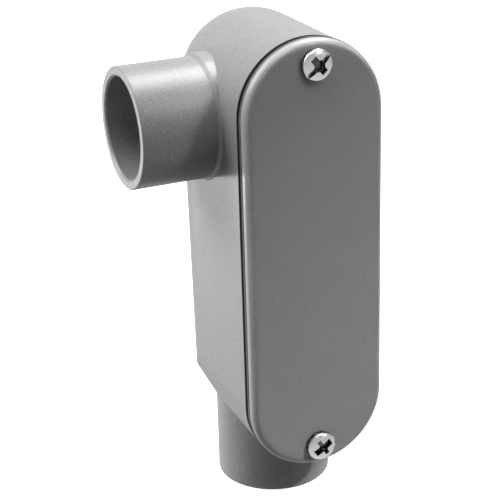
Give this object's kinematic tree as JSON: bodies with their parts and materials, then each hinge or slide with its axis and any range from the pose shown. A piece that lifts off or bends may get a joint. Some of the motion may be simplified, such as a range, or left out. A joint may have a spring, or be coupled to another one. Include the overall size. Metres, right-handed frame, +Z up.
{
  "type": "conduit body",
  "caption": "Upright plastic conduit body with a flat screwed cover, a side socket near the top and an end socket below, for turning and pulling cable runs.",
  "frame": {"origin": "centre of the mouth of the end hub's socket, at the plane the part stands on", "axes": "+Z up the body from the end hub to the closed end, cover facing -Y, side hub pointing to -X"},
  "size_m": [0.0599, 0.0605, 0.1339],
  "materials": {
    "housing_plastic": "moulded, slightly satin",
    "cover_plastic": "moulded, slightly satin",
    "gasket_rubber": "matt",
    "screw_steel": "bright zinc plated"
  },
  "bodies": {
    "root": {"housing": "housing_plastic", "cover": "cover_plastic", "gasket": "gasket_rubber", "upper_cover_screw": "screw_steel", "lower_cover_screw": "screw_steel"}
  },
  "joints": []
}
